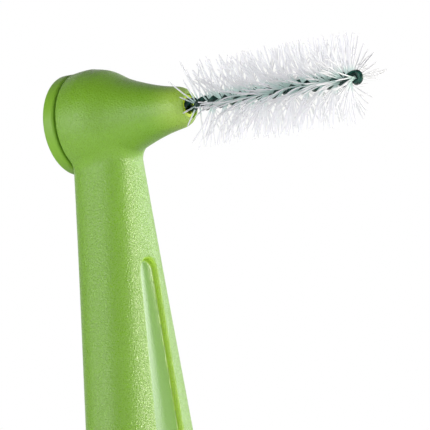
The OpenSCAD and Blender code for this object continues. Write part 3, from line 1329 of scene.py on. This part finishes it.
@dataclass
class Lamp:
    """A soft box, placed by its direction from the head. Its level is how bright its face looks."""

    name: str
    azimuth: float
    elevation: float
    distance: float
    width: float
    height: float
    level: float
    tint: Colour = WHITE

    def build(self, centre: Vector) -> None:
        """Adds the lamp and aims it.

        Args:
            centre: What it is aimed at.
        """
        back = direction(self.azimuth, self.elevation)
        data = bpy.data.lights.new(self.name, "AREA")
        data.shape = "RECTANGLE"
        data.size, data.size_y = self.width, self.height
        data.energy = self.level * math.pi**2 * self.distance**2
        data.color = self.tint
        lamp = add_object(self.name, data)
        lamp.location = centre + back * self.distance
        lamp.rotation_euler = back.to_track_quat("Z", "Y").to_euler()


@dataclass
class Studio:
    """Pale floor, soft boxes and a white surround."""

    centre: tuple[float, float, float] = (0.004, 0.0, -0.004)
    floor_z: float = -0.1371
    floor_radius: float = 0.42
    floor_sides: int = 96
    horizon: float = 1.12
    zenith: float = 0.0
    dim_between: tuple[float, float] = (-0.05, 0.46)
    front: tuple[float, float] = (22.0, -16.0)
    front_gain: float = 1.5
    front_between: tuple[float, float] = (0.0, 1.0)
    front_sheen: float = 0.03
    sheen_between: tuple[float, float] = (-1.0, -0.05)
    ceiling_sheen: float = 0.42
    ceiling_between: tuple[float, float] = (0.15, 0.9)
    paper: StudioPaper = field(default_factory=StudioPaper)
    lamps: tuple[Lamp, ...] = (
        Lamp("key_right", 159.5, 0.0, 0.5, 0.19, 0.3, 0.27),
        Lamp("key_side", 118.0, 0.0, 0.5, 0.2, 0.2, 0.55, (1.0, 0.97, 0.8)),
        Lamp("fill_left", -24.0, 8.0, 0.5, 0.56, 0.26, 0.36),
    )

    def world(self) -> None:
        """White as seen directly and in reflections, dimmer as a source of light."""
        world = bpy.data.worlds.new("studio_world")
        world.use_nodes = True
        net = Net(world.node_tree)
        ray = net.add("ShaderNodeLightPath")
        seen = ray.out("Is Camera Ray").most(ray.out("Is Transmission Ray"))
        sheen = ray.out("Is Glossy Ray")
        x, y, up = net.axes(net.add("ShaderNodeTexCoord").out("Generated", Kind.VECTOR))
        ahead = direction(*self.front)
        front = x * ahead.x + y * ahead.y + up * ahead.z
        lit = up.step(*self.dim_between) * (self.zenith - self.horizon) + self.horizon
        lit = lit * (front.step(*self.front_between) * self.front_gain + 1.0)
        glint = 1.0 - front.step(*self.sheen_between) * (1.0 - self.front_sheen)
        glint = glint * (1.0 - up.step(*self.ceiling_between) * (1.0 - self.ceiling_sheen))
        strength = sheen * (glint - lit) + lit
        strength = seen * (1.0 - strength) + strength
        light = net.add("ShaderNodeBackground", None, {"Color": WHITE, "Strength": strength})
        net.add("ShaderNodeOutputWorld", None, {"Surface": light})
        bpy.context.scene.world = world

    def floor(self) -> None:
        """The round floor under the handle's end."""
        turn = turns(self.floor_sides)
        rim = np.stack([np.cos(turn), np.sin(turn), np.zeros_like(turn)], 1) * self.floor_radius
        verts = (rim + [0, 0, self.floor_z]) / MM
        made = to_object("studio_floor", verts, [list(range(self.floor_sides))], self.paper.material())

    def dress(self) -> None:
        """Builds the floor, the surround and the lamps."""
        self.world()
        self.floor()
        for lamp in self.lamps:
            lamp.build(Vector(self.centre))
        bpy.context.scene.view_settings.view_transform = "Standard"
        LOG.info("studio with %d lamps", len(self.lamps))


@dataclass
class Viewpoint:
    """The camera, placed by what it sees: the handle's middle line at the height of the brush."""

    azimuth: float = 35.6
    elevation: float = -4.35
    roll: float = -6.6
    distance: float = 0.19
    scale: float = 18.6
    anchor: tuple[float, float, float] = (0.00209, 0.0, 0.0)
    anchor_at: tuple[float, float] = (103.5, 120.5)
    frame_px: float = 430.0
    sensor: float = 36.0
    clip: tuple[float, float] = (0.01, 50.0)

    def build(self) -> None:
        """Adds the camera and makes it the scene's."""
        back, roll = direction(self.azimuth, self.elevation), math.radians(self.roll)
        level = Vector((0, 0, 1)).cross(back).normalized()
        above = back.cross(level)
        right = level * math.cos(roll) + above * math.sin(roll)
        up = above * math.cos(roll) - level * math.sin(roll)
        focal = self.scale * self.distance / MM
        off = Vector((self.anchor_at[0] - self.frame_px / 2, self.frame_px / 2 - self.anchor_at[1], -focal))
        turn = off.normalized().rotation_difference(Vector((0, 0, -1))).to_matrix()
        axes = Matrix((right, up, back)).transposed() @ turn
        data = bpy.data.cameras.new("still_camera")
        data.sensor_width = self.sensor
        data.lens = focal / self.frame_px * self.sensor
        data.clip_start, data.clip_end = self.clip
        camera = add_object("still_camera", data)
        camera.matrix_world = Matrix.Translation(Vector(self.anchor) + back * self.distance) @ axes.to_4x4()
        bpy.context.scene.camera = camera


def main() -> None:
    """Builds and dresses every piece."""
    logging.basicConfig(level=logging.INFO, format="%(message)s")
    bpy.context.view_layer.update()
    Viewpoint().build()
    Studio().dress()
    Handle().dress()
    Plug().dress()
    wire = Wire()
    wire.dress()
    Filaments(wire).dress()


if __name__ == "__main__":
    main()
